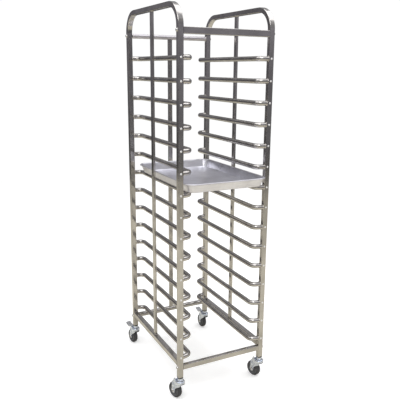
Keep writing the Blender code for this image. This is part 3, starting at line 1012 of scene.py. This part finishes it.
def plug_bmesh():
    """The plug's flange under the post, with its rounded edge."""
    top, low = POST_FOOT - 0.0003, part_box("front_left_stem_plug")[0].z - 0.0014
    layers = ((0.0012, low), (0.0003, low + 0.0006), (0, low + 0.0014), (0, top))
    return stepped(TUBE_WIDE, TUBE_THICK, lambda inset: TUBE_CORNER, 5, layers)


def caster(corner):
    """One caster with its plug, in the direction its CAD wheel trails, with a pedal at the rear."""
    base = caster_matrix(corner)
    hub = base @ Matrix.Translation((TRAIL, 0, WHEEL_RADIUS))
    swivel, wheel = f"{corner}_swivel", f"{corner}_wheel"
    post = Matrix.Translation((POST[corner].x, POST[corner].y, 0))
    place(f"{corner}_plug", plug_bmesh(), "plastic", "rack", [f"{corner}_stem_plug"], post)
    place(f"{corner}_yoke", yoke_bmesh(), "zinc", swivel, [f"{corner}_caster_fork"], base, 0.0007)
    place(f"{corner}_yoke_pressings", yoke_pressings(), "zinc", swivel, (), base)
    place(f"{corner}_swivel_head", crown_bmesh(), "zinc", swivel, (), base)
    place(f"{corner}_dark_ring", dust_ring_bmesh(), "hub", swivel, (), base)
    place(f"{corner}_tyre", tyre_bmesh(), "rubber", wheel, [f"{corner}_caster_wheel"], hub)
    place(f"{corner}_hub", hub_bmesh(), "hub", wheel, (), hub)
    place(f"{corner}_axle_rivet", axle_bmesh(), "bolt", swivel, [f"{corner}_caster_axle"], hub)
    if f"{corner}_brake_pedal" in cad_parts:
        pivot = base @ Matrix.Translation((PEDAL_PIVOT[0], 0, PEDAL_PIVOT[1]))
        node = f"{corner}_brake_pedal"
        place(f"{corner}_pedal", pedal_bmesh(), "pedal", f"{corner}_pedal", [node], pivot, 0.0003)


# ---------------------------------------------------------------- the studio


def the_floor():
    bm = bmesh.new()
    bmesh.ops.create_circle(bm, cap_ends=True, radius=FLOOR_RADIUS, segments=128)
    mesh = bpy.data.meshes.new("floor")
    bm.to_mesh(mesh)
    bm.free()
    floor = bpy.data.objects.new("floor", mesh)
    floor.location = (0, 0, -0.0002)
    mesh.materials.append(pale_floor("pale_floor"))
    bpy.context.collection.objects.link(floor)


def the_sky():
    """White behind the object. The metal mirrors a dim room with a bright ceiling instead."""
    world = bpy.data.worlds.new("studio")
    bpy.context.scene.world = world
    world.use_nodes = True
    sky = Tree(world.node_tree)
    sky.tree.nodes.clear()
    direction = sky.add("ShaderNodeTexCoord").outputs["Generated"]
    split = sky.add("ShaderNodeSeparateXYZ")
    sky.link(direction, split.inputs[0])
    height = sky.math("MULTIPLY_ADD", split.outputs["Z"], 0.5, 0.5)
    stops = [(0.5 + 0.5 * math.sin(math.radians(angle)), colour) for angle, colour in ROOM]
    clutter = sky.add("ShaderNodeTexNoise")
    clutter.inputs["Scale"].default_value = CLUTTER_SCALE
    clutter.inputs["Detail"].default_value = 3.0
    sky.link(direction, clutter.inputs["Vector"])
    towards = sky.add("ShaderNodeVectorMath", operation="DOT_PRODUCT")
    towards.inputs[1].default_value = LIGHTER_SIDE
    sky.link(direction, towards.inputs[0])
    patchy = sky.spread(clutter.outputs["Fac"], *CLUTTER, 0.35, 0.65)
    lighter = sky.spread(towards.outputs["Value"], *SIDE_LIGHT, -1.0, 1.0)

    def background(colour, strength):
        node = sky.add("ShaderNodeBackground")
        sky.fill(node.inputs["Color"], colour)
        sky.fill(node.inputs["Strength"], strength)
        return node.outputs[0]

    def either(choice, when_not, when):
        node = sky.add("ShaderNodeMixShader")
        for socket, source in zip(node.inputs, (choice, when_not, when)):
            sky.link(source, socket)
        return node.outputs[0]

    white = (1.0, 1.0, 1.0)
    ray = sky.add("ShaderNodeLightPath").outputs
    room = background(sky.ramp(height, stops), sky.math("MULTIPLY", patchy, lighter))
    unseen = either(ray["Is Diffuse Ray"], room, background(white, DOME_LIGHT))
    shown = either(ray["Is Camera Ray"], unseen, background(white, BACKDROP))
    sky.link(shown, sky.add("ShaderNodeOutputWorld").inputs["Surface"])


def soft_light(name, point, target, wide, tall, power):
    data = bpy.data.lights.new(name, "AREA")
    data.shape = "RECTANGLE"
    data.size, data.size_y = wide, tall
    data.energy = power
    light = bpy.data.objects.new(name, data)
    light.location = point
    aim = Vector(target) - Vector(point)
    light.rotation_euler = aim.to_track_quat("-Z", "Y").to_euler()
    bpy.context.collection.objects.link(light)


def the_lights():
    soft_light("overhead_left", (-1.5, -0.2, 4.0), (-0.2, 0.0, 0.6), 2.4, 3.8, 46)
    soft_light("overhead_right", (1.5, -0.4, 4.0), (0.2, 0.0, 0.6), 2.2, 3.6, 44)
    soft_light("key", (-1.6, -3.0, 4.2), (0.0, 0.0, 0.8), 2.4, 1.6, 50)


def the_camera():
    data = bpy.data.cameras.new("camera")
    data.sensor_width = 36.0
    data.lens = CAMERA_LENS
    data.shift_x, data.shift_y = CAMERA_SHIFT
    data.clip_end = 60.0
    camera = bpy.data.objects.new("camera", data)
    camera.location = CAMERA_PLACE + Vector((MIDDLE.x, MIDDLE.y, 0))
    turn = Matrix.Rotation(-CAMERA_YAW, 4, "Z") @ Matrix.Rotation(math.pi / 2 - CAMERA_PITCH, 4, "X")
    camera.rotation_euler = (turn @ Matrix.Rotation(CAMERA_ROLL, 4, "Z")).to_euler()
    bpy.context.collection.objects.link(camera)
    bpy.context.scene.camera = camera


the_camera()
the_floor()
the_sky()
the_lights()
bpy.context.scene.view_settings.view_transform = "Standard"
bpy.context.scene.view_settings.exposure = 0.0

the_frame()
the_pan()
for corner_name in CORNERS:
    caster(corner_name)
